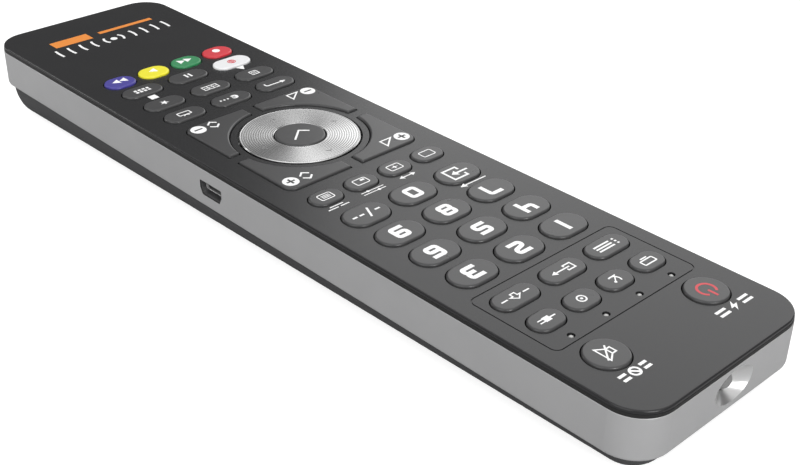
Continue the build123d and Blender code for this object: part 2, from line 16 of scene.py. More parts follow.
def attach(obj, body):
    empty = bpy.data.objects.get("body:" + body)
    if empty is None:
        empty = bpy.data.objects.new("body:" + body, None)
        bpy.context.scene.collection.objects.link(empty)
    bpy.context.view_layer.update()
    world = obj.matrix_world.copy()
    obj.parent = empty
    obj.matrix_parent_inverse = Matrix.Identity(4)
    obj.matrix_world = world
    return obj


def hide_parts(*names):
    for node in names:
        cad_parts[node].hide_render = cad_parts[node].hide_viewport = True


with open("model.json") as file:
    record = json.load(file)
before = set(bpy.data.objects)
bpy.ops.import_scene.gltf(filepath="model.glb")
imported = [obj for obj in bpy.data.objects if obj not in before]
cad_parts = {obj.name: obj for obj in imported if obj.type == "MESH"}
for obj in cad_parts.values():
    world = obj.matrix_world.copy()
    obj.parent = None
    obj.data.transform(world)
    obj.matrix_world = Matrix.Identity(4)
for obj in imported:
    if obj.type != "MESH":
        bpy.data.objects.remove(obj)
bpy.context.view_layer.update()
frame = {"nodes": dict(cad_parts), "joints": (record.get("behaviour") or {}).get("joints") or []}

# %% [markdown]
# The deck slopes a little against the underside, so nothing on it lies along the frame's own axes.
# A key's press axis says how much. Turning every point by that slope makes the deck level, and there a
# key's box is tight. Places on the deck are then plain millimetres: X across, Y towards the infrared end.

# %% Deck axes
MM = 0.001
press_axis = next(Vector(j["axis"]) for j in frame["joints"] if j["name"] == "power_key_press")
slope = math.atan2(-press_axis.y, -press_axis.z)
to_level = Matrix.Rotation(slope, 4, "X")
from_level = to_level.inverted()


def level_box(node):
    """A node's lowest and highest corners, with the deck turned level."""
    points = [to_level @ v.co for v in frame["nodes"][node].data.vertices]
    low = Vector([min(p[i] for p in points) for i in range(3)])
    high = Vector([max(p[i] for p in points) for i in range(3)])
    return low, high


band_low, band_high = level_box("side_band")
deck_origin = Vector((0, (band_low.y + band_high.y) / 2, band_high.z))
deck_top = level_box("top_deck")[1].z - deck_origin.z


def deck_point(x, y, z=deck_top / MM):
    """A place on the deck in millimetres, turned level but still to be set back on the slope."""
    return deck_origin + Vector((x, y, z)) * MM


print(f"deck: {math.degrees(slope):.2f} degrees, top {deck_top / MM:.2f} mm above the band")

# %% [markdown]
# The camera stands beyond the infrared end, some 14 cm above the table, and looks along the handset.
# Its place and two of its axes are given on the deck's axes. It is so near that a lens of 56 mm gives the
# picture's strong perspective. A matrix made of its three axes needs no constraint or target.

# %% Camera
camera_place = (156.19, 185.92, 124.78)
camera_right = Vector((-0.72692, 0.68658, 0.01371))
camera_up = Vector((-0.34228, -0.37956, 0.85952))
lens = 56.44
near_clip = 0.01

camera = bpy.data.objects.new("camera", bpy.data.cameras.new("camera"))
bpy.context.scene.collection.objects.link(camera)
camera.data.lens = lens
camera.data.clip_start = near_clip
turned = Matrix((camera_right, camera_up, camera_right.cross(camera_up))).transposed().to_4x4()
camera.matrix_world = from_level @ Matrix.Translation(deck_point(*camera_place)) @ turned
bpy.context.scene.camera = camera
print("camera at", [round(v, 3) for v in camera.matrix_world.translation])

# %% [markdown]
# Materials and the sky are built from shader nodes. Three small functions make this short: one feeds a
# socket from another socket or with a plain value, one adds a math node and gives its result, and one
# tells what the camera sees straight from what it sees in a mirror.

# %% Node helpers
def feed(tree, socket, value):
    """Give a socket another socket's value, or a plain one."""
    if isinstance(value, bpy.types.NodeSocket):
        tree.links.new(value, socket)
    else:
        socket.default_value = value


def math_node(tree, operation, *values):
    """A math node with these sockets or plain numbers as inputs, which gives its result."""
    node = tree.nodes.new("ShaderNodeMath")
    node.operation = operation
    for socket, value in zip(node.inputs, values):
        feed(tree, socket, value)
    return node.outputs[0]


def seen_by_camera(tree):
    """A socket that is 1 where the camera looks straight at the surface, and 0 for all other light."""
    return tree.nodes.new("ShaderNodeLightPath").outputs["Is Camera Ray"]


print("node helpers ready")

# %% [markdown]
# The floor is one large pale sheet just under the handset, which catches a soft contact shadow.
# Its own colour is a plain light grey, and a glow that only the camera sees lifts it to the picture's
# white, so no extra light has to fall on the object for that.

# %% Floor
floor_size = 12.0
floor_gap = 0.00005
floor_grey = 0.45
floor_roughness = 0.9
floor_specular = 0.1
floor_glow = 0.8

mesh = bpy.data.meshes.new("floor")
bm = bmesh.new()
bmesh.ops.create_grid(bm, x_segments=1, y_segments=1, size=floor_size / 2)
bmesh.ops.translate(bm, vec=(0, 0, -floor_gap), verts=bm.verts)
bm.to_mesh(mesh)
bm.free()
floor = bpy.data.objects.new("floor", mesh)
bpy.context.scene.collection.objects.link(floor)

paper = bpy.data.materials.new("floor_paper")
paper.use_nodes = True
tree = paper.node_tree
surface = tree.nodes["Principled BSDF"]
surface.inputs["Base Color"].default_value = (floor_grey, floor_grey, floor_grey, 1)
surface.inputs["Roughness"].default_value = floor_roughness
surface.inputs["Specular IOR Level"].default_value = floor_specular
surface.inputs["Emission Color"].default_value = (1, 1, 1, 1)
glow = math_node(tree, "MULTIPLY", seen_by_camera(tree), floor_glow)
feed(tree, surface.inputs["Emission Strength"], glow)
floor.data.materials.append(paper)
print("floor:", floor_size, "m across")

# %% [markdown]
# A glossy black deck looks like whatever it mirrors. In the picture its near half mirrors something broad
# and bright, high behind the handset, and its far half mirrors something dark, low down.
# So the sky is a gradient that is dim up to the horizon, and one wide panel stands high at the back. Seen
# straight by the camera, the sky is at least white, like the floor.
# A panel on the camera's side lights the silver band, one beyond the infrared end lights that end, and
# a small one near the far end brightens the band there.

# %% Light
sky_low = 0.15
sky_high = 1.1
dim_up_to = 0.5
bright_from = 0.8

world = bpy.data.worlds.new("studio")
bpy.context.scene.world = world
world.use_nodes = True
tree = world.node_tree
direction = tree.nodes.new("ShaderNodeTexCoord")
split = tree.nodes.new("ShaderNodeSeparateXYZ")
ramp = tree.nodes.new("ShaderNodeMapRange")
ramp.inputs["From Min"].default_value = dim_up_to
ramp.inputs["From Max"].default_value = bright_from
ramp.inputs["To Min"].default_value = sky_low
ramp.inputs["To Max"].default_value = sky_high
tree.links.new(direction.outputs["Generated"], split.inputs[0])
tree.links.new(split.outputs["Z"], ramp.inputs["Value"])
background = tree.nodes["Background"]
strength = math_node(tree, "MAXIMUM", ramp.outputs[0], seen_by_camera(tree))
feed(tree, background.inputs["Strength"], strength)
background.inputs["Color"].default_value = (1, 1, 1, 1)


def add_panel(name, azimuth, elevation, distance, width, height, radiance):
    """A soft panel that faces the handset, from a direction in degrees: azimuth 0 is +X, 90 is +Y."""
    turn, rise = math.radians(azimuth), math.radians(elevation)
    away = Vector((math.cos(turn) * math.cos(rise), math.sin(turn) * math.cos(rise), math.sin(rise)))
    data = bpy.data.lights.new(name, "AREA")
    data.shape = "RECTANGLE"
    data.size, data.size_y = width, height
    data.energy = radiance * math.pi * width * height
    panel = bpy.data.objects.new(name, data)
    bpy.context.scene.collection.objects.link(panel)
    panel.location = away * distance
    panel.rotation_euler = (-away).to_track_quat("-Z", "Y").to_euler()


# Azimuth, elevation, distance, width, height and radiance of each panel
panels = {
    "back_panel": (201, 25, 1.5, 1.43, 1.1, 1.5),
    "side_panel": (10, 25, 1.2, 0.9, 0.7, 2.3),
    "end_panel": (78, 24, 1.2, 0.5, 0.5, 9.6),
    "far_panel": (-62, 20, 0.24, 0.06, 0.06, 3.6)}
for name, values in panels.items():
    add_panel(name, *values)
bpy.context.scene.view_settings.view_transform = "Standard"

# %% [markdown]
# Every finish here starts from the same parts: a colour that drifts slightly, a roughness that drifts with
# it, and a fine bump for the grain of the mould or the paint. A function builds these once, on Object
# coordinates, so that a grain is as large as it is in millimetres on every piece.

# %% Finish builder
def finish(name, colour, roughness, drift=0.06, drift_size=9.0, grain_size=0.25, grain_depth=0.004,
           metallic=0.0, specular=0.5, **sockets):
    """A material with drifting colour and roughness and a fine grain. Sizes are in millimetres."""
    material = bpy.data.materials.new(name)
    material.use_nodes = True
    nodes, links = material.node_tree.nodes, material.node_tree.links
    shader = nodes["Principled BSDF"]
    shader.inputs["Metallic"].default_value = metallic
    shader.inputs["Specular IOR Level"].default_value = specular
    for socket, value in sockets.items():
        shader.inputs[socket.replace("_", " ")].default_value = value
    where = nodes.new("ShaderNodeTexCoord")

    patches = nodes.new("ShaderNodeTexNoise")
    patches.inputs["Scale"].default_value = 1 / (drift_size * MM)
    patches.inputs["Detail"].default_value = 4
    links.new(where.outputs["Object"], patches.inputs["Vector"])
    blend = nodes.new("ShaderNodeMix")
    blend.data_type = "RGBA"
    blend.inputs["A"].default_value = (*[c * (1 - drift) for c in colour], 1)
    blend.inputs["B"].default_value = (*[c * (1 + drift) for c in colour], 1)
    links.new(patches.outputs["Fac"], blend.inputs["Factor"])
    links.new(blend.outputs["Result"], shader.inputs["Base Color"])
    rough = nodes.new("ShaderNodeMapRange")
    rough.inputs["To Min"].default_value = roughness * (1 - drift)
    rough.inputs["To Max"].default_value = roughness * (1 + drift)
    links.new(patches.outputs["Fac"], rough.inputs["Value"])
    links.new(rough.outputs[0], shader.inputs["Roughness"])

    grain = nodes.new("ShaderNodeTexNoise")
    grain.inputs["Scale"].default_value = 1 / (grain_size * MM)
    grain.inputs["Detail"].default_value = 2
    links.new(where.outputs["Object"], grain.inputs["Vector"])
    bump = nodes.new("ShaderNodeBump")
    bump.inputs["Strength"].default_value = 1
    bump.inputs["Distance"].default_value = grain_depth * MM
    links.new(grain.outputs["Fac"], bump.inputs["Height"])
    links.new(bump.outputs["Normal"], shader.inputs["Normal"])
    return material


def vector_from(tree, place):
    """The way from a place on the level deck to the shaded point, in metres, as a vector socket."""
    where = tree.nodes.new("ShaderNodeTexCoord")
    away = tree.nodes.new("ShaderNodeVectorMath")
    away.operation = "SUBTRACT"
    away.inputs[1].default_value = from_level @ place
    tree.links.new(where.outputs["Object"], away.inputs[0])
    return away.outputs[0]


def offset_from(tree, place):
    """The same way as sockets named X, Y and Z."""
    split = tree.nodes.new("ShaderNodeSeparateXYZ")
    tree.links.new(vector_from(tree, place), split.inputs[0])
    return split.outputs


def mix_into_colour(tree, blend_type, factor, second):
    """Mix a second colour into the one that feeds a material's base colour."""
    base = tree.nodes["Principled BSDF"].inputs["Base Color"]
    mix = tree.nodes.new("ShaderNodeMix")
    mix.data_type = "RGBA"
    mix.blend_type = blend_type
    tree.links.new(base.links[0].from_socket, mix.inputs["A"])
    feed(tree, mix.inputs["Factor"], factor)
    feed(tree, mix.inputs["B"], second)
    tree.links.new(mix.outputs["Result"], base)


print("finish builder ready")

# %% [markdown]
# The deck is black plastic with a satin skin, and its keys are a shade lighter with the same skin.
# The colour keys are moulded in their colours. The shell below has a duller, coarser mould grain.

# %% Moulded plastics
deck_satin = finish("deck_satin", (0.018, 0.018, 0.019), 0.25, grain_depth=0.002, specular=0.4)
key_satin = finish("key_satin", (0.055, 0.055, 0.056), 0.28, specular=0.4)
shell_grain = finish("shell_grain", (0.065, 0.065, 0.067), 0.6, grain_size=0.5, grain_depth=0.02,
                     specular=0.3)
white_key_satin = finish("white_key_satin", (0.82, 0.82, 0.83), 0.4)
red_key_satin = finish("red_key_satin", (0.62, 0.035, 0.05), 0.38)
green_key_satin = finish("green_key_satin", (0.03, 0.24, 0.09), 0.38)
yellow_key_satin = finish("yellow_key_satin", (0.85, 0.78, 0.03), 0.38)
blue_key_satin = finish("blue_key_satin", (0.06, 0.05, 0.30), 0.38)
rubber = finish("mat_rubber", (0.2, 0.2, 0.21), 0.75, grain_depth=0.01)
board_green = finish("board_green", (0.02, 0.13, 0.05), 0.4, drift=0.2, drift_size=3.0)
chip_black = finish("chip_black", (0.02, 0.02, 0.021), 0.55, grain_depth=0.01)
print("plastics:", deck_satin.name, key_satin.name, shell_grain.name)

# %% [markdown]
# The band is plastic under silver paint, so it is only partly metal and its grain is very fine. The metal
# pieces inside are plain bright steel, and the ring's metal stretches its highlights across its grooves.

# %% Paint and metal
silver_paint = finish("silver_paint", (0.45, 0.45, 0.455), 0.42, metallic=0.35, grain_size=0.12,
                      grain_depth=0.003)
turned_silver = finish("turned_silver", (0.97, 0.97, 0.97), 0.22, metallic=1.0, drift=0.03,
                       grain_size=0.1, grain_depth=0.001, Anisotropic=0.85)
steel = finish("bright_steel", (0.55, 0.55, 0.56), 0.3, metallic=1.0, drift=0.05)
socket_tin = finish("socket_tin", (0.09, 0.09, 0.092), 0.45, metallic=0.2, drift=0.25,
                    drift_size=0.6)
reflector_silver = finish("reflector_silver", (0.85, 0.85, 0.85), 0.28, metallic=1.0, drift=0.03,
                          grain_depth=0.001)
cell_sleeve = finish("cell_sleeve", (0.2, 0.2, 0.23), 0.35, metallic=0.4)
indicator_clear = finish("indicator_clear", (0.5, 0.5, 0.49), 0.2, drift=0.02, grain_depth=0.001)
lens_clear = finish("lens_clear", (0.24, 0.24, 0.24), 0.12, drift=0.02, grain_depth=0.001,
                    Transmission_Weight=0.1)
print("metals:", silver_paint.name, turned_silver.name, steel.name)

# %% [markdown]
# The CAD nodes keep their meshes, and only their material slots change. Most nodes are keys of one colour,
# so a table names the others and every node that it leaves out is a dark key.

# %% Dress the CAD nodes
finishes = {
    "top_deck": deck_satin, "side_band": silver_paint, "bottom_shell": shell_grain,
    "battery_cover": shell_grain, "key_mat": rubber, "circuit_board": board_green,
    "controller_chip": chip_black, "charging_socket": socket_tin, "screws": steel,
    "cells": cell_sleeve, "cell_springs": steel, "cell_contacts": steel, "ring_collar": steel,
    "infrared_emitter": lens_clear, "indicator_lights": indicator_clear, "select_ring": turned_silver,
    "function_key_7": white_key_satin, "red_key": red_key_satin, "green_key": green_key_satin,
    "yellow_key": yellow_key_satin, "blue_key": blue_key_satin}
for name, node in frame["nodes"].items():
    node.data.materials.clear()
    node.data.materials.append(finishes.get(name, key_satin))
print("dressed:", len(frame["nodes"]), "nodes")

# %% [markdown]
# The two cells lie side by side, nub to tail. Each sleeve is dark, with a copper band at its nub end:
# the sign of X says which cell a point is on, and so at which end of it the spring is.

# %% Cell sleeves
copper = (0.5, 0.24, 0.08, 1)
copper_length = 11.0
cells_low, cells_high = level_box("cells")
tree = cell_sleeve.node_tree
away = offset_from(tree, (cells_low + cells_high) / 2)
towards_spring = math_node(tree, "MULTIPLY", math_node(tree, "SIGN", away["X"]), away["Y"])
copper_start = (cells_high.y - cells_low.y) / 2 - copper_length * MM
mix_into_colour(tree, "MIX", math_node(tree, "LESS_THAN", towards_spring, -copper_start), copper)
print("cell sleeves: copper from", round(copper_start / MM, 1), "mm")

# %% [markdown]
# The rocking ring is silver and was turned on a lathe: fine concentric grooves break the light into fans.
# Bump alone would leave the mesh plain, so the grooves are cut into the profile, and a spin about the
# ring's own axis makes the piece. It stands for the plain CAD ring and rides with it.
# Its metal takes the way from the ring's middle as its tangent, and cosine waves paint light and shade into
# its colour: four painted highlight fans round the ring, a painted lean from bright to dark from side to
# side, and painted sheen on the grooves, which shows most at two opposite sides.

# %% Turned ring
ring_edge_radius = 13.4
ring_bore_radius = 5.85
ring_recess_radius = 7.0
ring_recess_depth = 1.1
ring_flange_height = 0.5
ring_chamfer = 0.15
bore_chamfer = 0.15
groove_count = 14
groove_depth = 0.03
ring_steps = 192
painted_fan_count = 4.0
painted_fan_turn = 215.0
painted_fan_strength = 0.15
painted_lean_count = 1.0
painted_lean_turn = 15.0
painted_lean_strength = 0.06
painted_groove_sheen = 0.15
painted_sheen_side_count = 2.0
painted_sheen_side_turn = 272.0
painted_sheen_side_strength = 0.08

ring_low, ring_high = level_box("select_ring")
ring_middle = (ring_low + ring_high) / 2
ring_flange_radius = (ring_high.x - ring_low.x) / 2 / MM
ring_height = (ring_high.z - ring_low.z) / MM
groove_start = ring_bore_radius + bore_chamfer
groove_end = ring_edge_radius - ring_chamfer
groove_pitch = (groove_end - groove_start) / groove_count


def ring_profile():
    """The ring's section from its recess, over its grooved face and down to its flange, in millimetres."""
    points = [(ring_recess_radius, 0), (ring_recess_radius, ring_recess_depth),
              (ring_bore_radius, ring_recess_depth), (ring_bore_radius, ring_height - bore_chamfer)]
    for i in range(groove_count):
        points.append((groove_start + i * groove_pitch, ring_height))
        points.append((groove_start + (i + 0.5) * groove_pitch, ring_height - groove_depth))
    points += [(groove_end, ring_height), (ring_edge_radius, ring_height - ring_chamfer),
               (ring_edge_radius, ring_flange_height), (ring_flange_radius, ring_flange_height),
               (ring_flange_radius, 0)]
    return points


def smooth_by_angle(mesh, degrees=30.0):
    """Shade smooth, but keep the edges that turn more than this sharp."""
    mesh.polygons.foreach_set("use_smooth", [True] * len(mesh.polygons))
    mesh.set_sharp_from_angle(angle=math.radians(degrees))


def new_piece(name, bm, material, body):
    """Close a bmesh into an object that is set back on the slope and rides on a body."""
    bmesh.ops.transform(bm, matrix=from_level, verts=bm.verts)
    bmesh.ops.recalc_face_normals(bm, faces=bm.faces)
    mesh = bpy.data.meshes.new(name)
    bm.to_mesh(mesh)
    bm.free()
    mesh.materials.append(material)
    piece = bpy.data.objects.new(name, mesh)
    bpy.context.scene.collection.objects.link(piece)
    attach(piece, body)
    return piece


tree = turned_silver.node_tree
outward = vector_from(tree, ring_middle)
tree.links.new(outward, tree.nodes["Principled BSDF"].inputs["Tangent"])
away = offset_from(tree, ring_middle)
angle = math_node(tree, "ARCTAN2", away["Y"], away["X"])
reach = tree.nodes.new("ShaderNodeVectorMath")
reach.operation = "LENGTH"
tree.links.new(outward, reach.inputs[0])
past_start = math_node(tree, "SUBTRACT", reach.outputs["Value"], groove_start * MM)


def wave(value, count, turn, strength):
    """A cosine of this many turns of a value, shifted in degrees and scaled."""
    turned = math_node(tree, "MULTIPLY_ADD", value, count, math.radians(-turn))
    return math_node(tree, "MULTIPLY", math_node(tree, "COSINE", turned), strength)


# Painted highlights: these waves brighten and darken the ring's colour in fans, a side-to-side lean and
# groove sheen.
painted_sheen_sides = wave(angle, painted_sheen_side_count, painted_sheen_side_turn, painted_sheen_side_strength)
painted_light_waves = ((angle, painted_fan_count, painted_fan_turn, painted_fan_strength), (angle, painted_lean_count, painted_lean_turn, painted_lean_strength),
         (past_start, math.tau / (groove_pitch * MM), 0.0, math_node(tree, "ADD", painted_sheen_sides, painted_groove_sheen)))
shade = 1 - painted_fan_strength - painted_lean_strength - painted_groove_sheen
for values in painted_light_waves:
    shade = math_node(tree, "ADD", wave(*values), shade)
mix_into_colour(tree, "MULTIPLY", 1, shade)

bm = bmesh.new()
base = Vector((ring_middle.x, ring_middle.y, ring_low.z))
profile = [bm.verts.new(base + Vector((radius, 0, height)) * MM) for radius, height in ring_profile()]
for start, end in zip(profile, profile[1:] + profile[:1]):
    bm.edges.new((start, end))
bmesh.ops.spin(bm, geom=bm.verts[:] + bm.edges[:], cent=base, axis=(0, 0, 1), angle=math.tau,
               steps=ring_steps, use_merge=True)
turned_ring = new_piece("turned_ring", bm, turned_silver, "select_ring_body")
smooth_by_angle(turned_ring.data)
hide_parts("select_ring")
print("turned ring:", len(turned_ring.data.polygons), "faces")

# %% [markdown]
# The emitter sits at the bottom of an oval dish in the end of the band. A bright reflector lines the dish:
# rings of points step from the oval mouth to the round throat and back, and quads close them into a shell.

# %% Reflector
mouth_width = 10.9
mouth_height = 6.85
throat_radius = 2.05
dish_depth = 2.0
liner_gap = 0.01
liner_thickness = 0.04
dish_x = -1.05
dish_z = -3.925
dish_points = 64
dish_steps = 6
near_y = (band_high.y - deck_origin.y) / MM


def dish_ring(bm, share, lining):
    """A ring of points this share of the way down the dish, and this far inside its wall."""
    verts = []
    wide = mouth_width / 2 * (1 - share) + throat_radius * share - lining
    high = mouth_height / 2 * (1 - share) + throat_radius * share - lining
    for i in range(dish_points):
        turn = math.tau * i / dish_points
        x, z = dish_x + wide * math.cos(turn), dish_z + high * math.sin(turn)
        verts.append(bm.verts.new(deck_point(x, near_y - dish_depth * share, z)))
    return verts


bm = bmesh.new()
shares = [i / dish_steps for i in range(dish_steps + 1)]
loops = [dish_ring(bm, share, liner_gap) for share in shares]
loops += [dish_ring(bm, share, liner_gap + liner_thickness) for share in reversed(shares)]
for one, other in zip(loops, loops[1:] + loops[:1]):
    for i in range(dish_points):
        after = (i + 1) % dish_points
        bm.faces.new((one[i], one[after], other[after], other[i]))
reflector = new_piece("emitter_reflector", bm, reflector_silver, "housing")
smooth_by_angle(reflector.data)
print("reflector:", len(reflector.data.polygons), "faces")

# %% [markdown]
# The marks are printed in raised ink, a few hundredths of a millimetre thick, so each one is real mesh.
# A stroke is a centre line: its corners are rounded by a vertex bevel, it is stood up as a wall, and
# Solidify gives the wall the pen's width with even corners. Discs and arrow heads are filled faces.
# Strokes that cross differ in height by a hair, so that no two faces lie in one plane.

# %% Pen tools
ink_height = 0.02
ink_sink = 0.01
ink_step = 0.0015
bend_segments = 4
circle_steps = 24
dot_steps = 12


def line(*points, width=0.35, closed=False, rounding=0.0):
    """A pen stroke along these points, in millimetres from the mark's centre."""
    return {"points": points, "width": width, "closed": closed, "rounding": rounding}


def patch(*points):
    """A filled shape with these corners."""
    return {"points": points, "width": None}


def arc(x, y, radius, start, end, steps=12):
    """Points along an arc, with its angles in degrees."""
    turns = [math.radians(start + (end - start) * i / steps) for i in range(steps + 1)]
    return [(x + radius * math.cos(turn), y + radius * math.sin(turn)) for turn in turns]


def frame_line(x_half, y_half, width, rounding=0.0, y=0.0):
    """A rectangle drawn as one closed stroke."""
    corners = ((-x_half, y - y_half), (x_half, y - y_half), (x_half, y + y_half), (-x_half, y + y_half))
    return line(*corners, width=width, closed=True, rounding=rounding)


def circle_line(radius, width):
    """A circle drawn as one closed stroke."""
    return line(*arc(0, 0, radius, 0, 360, circle_steps)[:-1], width=width, closed=True)


def disc(radius, x=0.0, y=0.0, steps=circle_steps):
    """A filled circle."""
    return patch(*arc(x, y, radius, 0, 360, steps)[:-1])


def dot(radius, x=0.0, y=0.0):
    """A small filled circle, with fewer corners."""
    return disc(radius, x, y, dot_steps)


def bar(x_half, y_half, x=0.0, y=0.0):
    """A filled rectangle."""
    return patch((x - x_half, y - y_half), (x + x_half, y - y_half), (x + x_half, y + y_half),
                 (x - x_half, y + y_half))


def wall_mesh(shape, low, high):
    """A stroke's centre line, rounded, stood up as a wall and thickened to the pen's width."""
    bm = bmesh.new()
    verts = [bm.verts.new((x * MM, y * MM, low)) for x, y in shape["points"]]
    ends = verts[1:] + verts[:1] if shape["closed"] else verts[1:]
    for pair in zip(verts, ends):
        bm.edges.new(pair)
    if shape["rounding"]:
        corners = verts if shape["closed"] else verts[1:-1]
        bmesh.ops.bevel(bm, geom=corners, offset=shape["rounding"] * MM, offset_type="OFFSET",
                        segments=bend_segments, profile=0.5, affect="VERTICES", material=-1)
    raised = bmesh.ops.extrude_edge_only(bm, edges=bm.edges[:])["geom"]
    top = [part for part in raised if isinstance(part, bmesh.types.BMVert)]
    bmesh.ops.translate(bm, vec=(0, 0, high - low), verts=top)
    bmesh.ops.recalc_face_normals(bm, faces=bm.faces)
    mesh = bpy.data.meshes.new("wall")
    bm.to_mesh(mesh)
    bm.free()
    wall = bpy.data.objects.new("wall", mesh)
    bpy.context.scene.collection.objects.link(wall)
    pen = wall.modifiers.new("pen", "SOLIDIFY")
    pen.thickness = shape["width"] * MM
    pen.offset = 0
    pen.use_even_offset = True
    seen = wall.evaluated_get(bpy.context.evaluated_depsgraph_get())
    solid = bpy.data.meshes.new_from_object(seen)
    bpy.data.objects.remove(wall)
    return solid


def patch_mesh(shape, low, high):
    """A filled shape, raised to a thin solid."""
    bm = bmesh.new()
    face = bm.faces.new([bm.verts.new((x * MM, y * MM, low)) for x, y in shape["points"]])
    raised = bmesh.ops.extrude_face_region(bm, geom=[face])["geom"]
    top = [part for part in raised if isinstance(part, bmesh.types.BMVert)]
    bmesh.ops.translate(bm, vec=(0, 0, high - low), verts=top)
    solid = bpy.data.meshes.new("patch")
    bm.to_mesh(solid)
    bm.free()
    return solid


def print_mark(name, place, body, shapes, ink, lift=0.0, turn=0.0):
    """Print a mark's shapes about a place on the level deck, as one piece that rides on a body."""
    bm = bmesh.new()
    for step, shape in enumerate(shapes):
        make = patch_mesh if shape["width"] is None else wall_mesh
        solid = make(shape, -ink_sink * MM, (ink_height + lift + step * ink_step) * MM)
        bm.from_mesh(solid)
        bpy.data.meshes.remove(solid)
    swing = Matrix.Rotation(math.radians(turn), 3, "Z")
    bmesh.ops.rotate(bm, cent=(0, 0, 0), matrix=swing, verts=bm.verts)
    bmesh.ops.translate(bm, vec=place, verts=bm.verts)
    return new_piece(name, bm, ink, body)


def print_on_key(node, shapes, ink, y=0.0):
    """Print a mark on the middle of a key's top, or this many millimetres along Y from it."""
    low, high = level_box(node)
    place = Vector(((low.x + high.x) / 2, (low.y + high.y) / 2 + y * MM, high.z))
    print_mark(f"{node}_mark", place, f"{node}_body", shapes, ink)


print("pen tools ready")

# %% [markdown]
# Screen-printed ink is opaque and slightly dull, with a faint unevenness where the screen left it.
# The arrows on the ring have a tint of their own, a duller metal than the ring's.

# %% Inks
def printed(name, colour, drift=0.05):
    """An ink of this colour."""
    return finish(name, colour, 0.5, drift=drift, drift_size=1.5, grain_size=0.1)


white_ink = printed("white_ink", (0.93, 0.93, 0.93), drift=0.03)
red_ink = printed("red_ink", (0.62, 0.06, 0.075))
dark_ink = printed("dark_ink", (0.04, 0.04, 0.041))
arrow_tint = finish("arrow_tint", (0.3, 0.3, 0.3), 0.4, metallic=0.8, grain_size=0.1)
print("inks:", white_ink.name, red_ink.name, dark_ink.name)

# %% [markdown]
# The socket is set a little into the band. A dark gasket lines the band's cut in front of its mouth, which
# is straight above and narrows below, and further in a thin bright lip runs round the socket's tongue.
# Each is drawn flat, like a stroke, and turned to face sideways: the drawing's across becomes Y, its up
# becomes Z, and its height becomes X. Within the tongue's width, the socket's colour is dark above a height
# on the tongue: painted shade for the gap above it.

# %% Socket gasket and lip
mouth_top_half = 3.8
mouth_bottom_half = 3.0
mouth_half_height = 1.7
mouth_shoulder = -0.2
socket_fit = 0.1
gasket_depth = 0.29
gasket_width = 0.08
gasket_gap = 0.01
gasket_rounding = 0.3
lip_half = 3.1
lip_low = -0.52
lip_high = 1.15
lip_front = 1.15
lip_back = 1.6
lip_width = 0.13
lip_rounding = 0.6
tongue_half = 2.4
painted_shade_from = -0.1
painted_gap_shade = (0.015, 0.015, 0.015, 1)

socket_low, socket_high = level_box("charging_socket")
mouth_z = socket_high.z + (socket_fit - mouth_half_height) * MM
mouth_centre = Vector((band_high.x, (socket_low.y + socket_high.y) / 2, mouth_z))
sideways = Matrix(((0, 0, 1, 0), (1, 0, 0, 0), (0, 1, 0, 0), (0, 0, 0, 1)))


def socket_loop(name, stroke, back, front, material):
    """A closed stroke stood up inside the socket's mouth, between two depths behind the band's face."""
    bm = bmesh.new()
    bm.from_mesh(wall_mesh(stroke, -back * MM, -front * MM))
    bmesh.ops.transform(bm, matrix=sideways, verts=bm.verts)
    bmesh.ops.translate(bm, vec=mouth_centre, verts=bm.verts)
    return new_piece(name, bm, material, "housing")


inset = gasket_gap + gasket_width / 2
upper, lower, half = mouth_top_half - inset, mouth_bottom_half - inset, mouth_half_height - inset
gasket_line = line((-upper, half), (upper, half), (upper, mouth_shoulder), (lower, -half), (-lower, -half),
                   (-upper, mouth_shoulder), width=gasket_width, closed=True, rounding=gasket_rounding)
gasket_black = finish("gasket_black", (0.03, 0.03, 0.03), 0.6, grain_depth=0.01)
gasket = socket_loop("socket_gasket", gasket_line, gasket_depth, gasket_gap, gasket_black)
lip_line = line((-lip_half, lip_low), (lip_half, lip_low), (lip_half, lip_high), (-lip_half, lip_high),
                width=lip_width, closed=True, rounding=lip_rounding)
lip_tin = finish("lip_tin", (0.72, 0.72, 0.72), 0.35, metallic=0.3, grain_depth=0.001)
lip = socket_loop("socket_lip", lip_line, lip_back, lip_front, lip_tin)

# Painted shade: the socket's colour turns near black above a height on the tongue, within its width, for the
# gap above it.
tree = socket_tin.node_tree
away = offset_from(tree, mouth_centre)
over = math_node(tree, "GREATER_THAN", away["Z"], painted_shade_from * MM)
within = math_node(tree, "LESS_THAN", math_node(tree, "ABSOLUTE", away["Y"]), tongue_half * MM)
mix_into_colour(tree, "MIX", math_node(tree, "MULTIPLY", over, within), painted_gap_shade)
print("gasket and lip:", len(gasket.data.polygons) + len(lip.data.polygons), "faces")

# %% [markdown]
# Where the deck meets the band a narrow gap lies in shade, with the deck's rounded edge as a lighter line
# above it. A thin dark bead that runs round the foot of the deck is painted shadow for that gap.

# %% Deck seam shadow
seam_height = 0.62
seam_width = 0.05
seam_gap = 0.01
seam_lift = 0.03
deck_corner_radius = 7.35
corner_steps = 18

deck_low, deck_high = level_box("top_deck")
reach_out = seam_gap + seam_width / 2
corner_x = (deck_high.x - deck_low.x) / 2 / MM - deck_corner_radius
corner_y = (deck_high.y - deck_low.y) / 2 / MM - deck_corner_radius
seam_points = []
for x, y, start in ((corner_x, corner_y, 0), (-corner_x, corner_y, 90), (-corner_x, -corner_y, 180),
                    (corner_x, -corner_y, 270)):
    seam_points += arc(x, y, deck_corner_radius + reach_out, start, start + 90, corner_steps)
